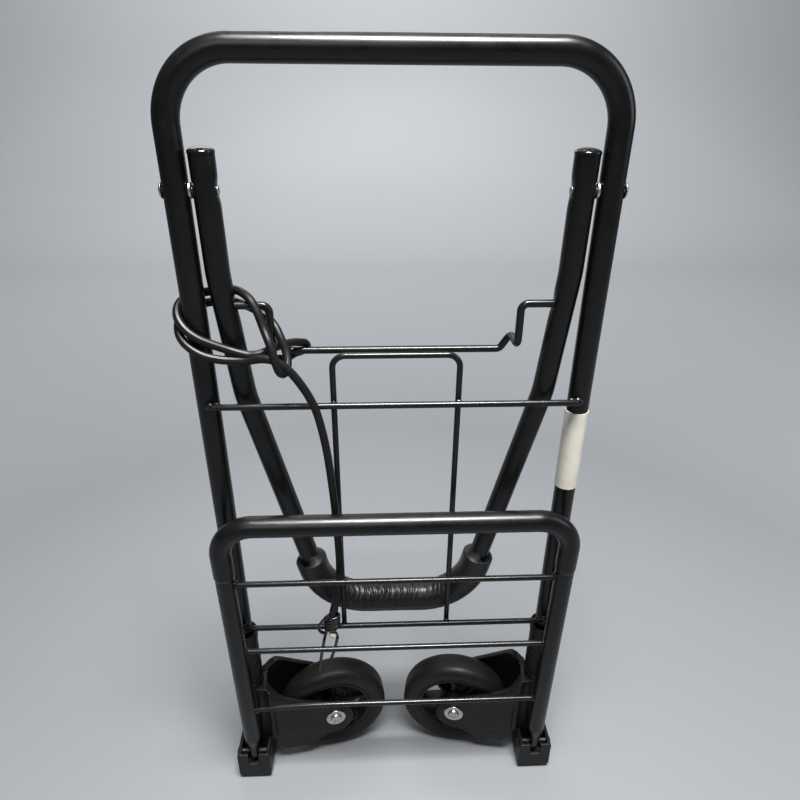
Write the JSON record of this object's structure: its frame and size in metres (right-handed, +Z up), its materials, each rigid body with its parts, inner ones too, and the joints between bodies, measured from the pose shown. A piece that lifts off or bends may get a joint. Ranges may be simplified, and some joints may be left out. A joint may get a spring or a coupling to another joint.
{
  "type": "folding luggage cart",
  "caption": "Folding luggage cart of bent black tube: hanging foam-grip handle, wire rack back, fold-down platform, swing-out spoked wheels and a hooked elastic cord; shown folded flat.",
  "frame": {"origin": "on the floor, midway between the two legs of the main frame, with the cart folded flat and standing on its feet", "axes": "+Z up along the legs of the main frame, -Y towards the folded platform (the front), +X across the cart"},
  "size_m": [0.359, 0.0877, 0.7375],
  "materials": {
    "powder_coat": "satin black powder coat",
    "coated_wire": "semi-gloss black coating",
    "matt_plastic": "fine matt moulded black",
    "gloss_plastic": "glossy black",
    "tyre_rubber": "matt dark grey rubber",
    "foot_rubber": "matt dark grey rubber",
    "grip_foam": "soft black foam",
    "zinc_plate": "bright zinc plate",
    "dark_steel": "dark coated spring wire",
    "cord_sheath": "tight black braid",
    "label_paper": "blank off-white film"
  },
  "bodies": {
    "frame": {"main_frame_tube": "powder_coat", "upper_cross_wire": "coated_wire", "lower_cross_wire": "coated_wire", "back_rack_wire": "coated_wire", "handle_rivet_left": "zinc_plate", "handle_rivet_right": "zinc_plate", "handle_spacer_left": "zinc_plate", "handle_spacer_right": "zinc_plate", "foot_block_left": "matt_plastic", "foot_block_right": "matt_plastic", "foot_pad_left": "foot_rubber", "foot_pad_right": "foot_rubber", "leg_collar_left": "matt_plastic", "leg_collar_right": "matt_plastic", "lock_ring_left": "matt_plastic", "lock_ring_right": "matt_plastic", "toe_pin_left": "dark_steel", "toe_pin_right": "dark_steel", "bungee_cord": "cord_sheath", "cord_ferrule": "dark_steel", "cord_hook": "dark_steel", "wrap_label": "label_paper"},
    "handle": {"handle_tube": "powder_coat", "handle_grip": "grip_foam", "handle_cap_left": "gloss_plastic", "handle_cap_right": "gloss_plastic"},
    "bail": {"lock_bail": "coated_wire"},
    "platform": {"toe_bow": "powder_coat", "toe_leg_left": "powder_coat", "toe_leg_right": "powder_coat", "toe_wire_upper": "coated_wire", "toe_wire_middle": "coated_wire", "toe_wire_lower": "coated_wire"},
    "bracket_left": {"wheel_bracket_left": "matt_plastic", "axle_bolt_left": "zinc_plate", "axle_washer_left": "zinc_plate", "axle_bush_left": "zinc_plate", "axle_nut_left": "zinc_plate"},
    "bracket_right": {"wheel_bracket_right": "matt_plastic", "axle_bolt_right": "zinc_plate", "axle_washer_right": "zinc_plate", "axle_bush_right": "zinc_plate", "axle_nut_right": "zinc_plate"},
    "wheel_left": {"tyre_left": "tyre_rubber", "wheel_hub_left": "matt_plastic"},
    "wheel_right": {"tyre_right": "tyre_rubber", "wheel_hub_right": "matt_plastic"}
  },
  "joints": [
    {"name": "handle_fold", "type": "hinge", "parent": "frame", "child": "handle", "pos_m": [0, 0, 0.638], "axis": [1, 0, 0], "range_deg": [0, 164]},
    {"name": "bail_swing", "type": "hinge", "parent": "handle", "child": "bail", "pos_m": [0, 0.00315, 0.55006], "axis": [1, 0, 0], "range_deg": [0, 48]},
    {"name": "platform_fold", "type": "hinge", "parent": "frame", "child": "platform", "pos_m": [0, -0.0235, 0.033], "axis": [1, 0, 0], "range_deg": [0, 88]},
    {"name": "bracket_left_swing", "type": "hinge", "parent": "frame", "child": "bracket_left", "pos_m": [-0.16, 0, 0.08], "axis": [0, 0, 1], "range_deg": [0, 80]},
    {"name": "bracket_right_swing", "type": "hinge", "parent": "frame", "child": "bracket_right", "pos_m": [0.16, 0, 0.08], "axis": [0, 0, -1], "range_deg": [0, 80]},
    {"name": "wheel_left_spin", "type": "hinge", "parent": "bracket_left", "child": "wheel_left", "pos_m": [-0.07176, 0.01556, 0.061], "axis": [0.1736, -0.9848, 0], "continuous": true},
    {"name": "wheel_right_spin", "type": "hinge", "parent": "bracket_right", "child": "wheel_right", "pos_m": [0.07176, 0.01556, 0.061], "axis": [-0.1736, -0.9848, 0], "continuous": true}
  ],
  "couplings": [
    {"joint": "bracket_left_swing", "follows": "platform_fold", "ratio": 0.90909},
    {"joint": "bracket_right_swing", "follows": "platform_fold", "ratio": 0.90909}
  ]
}
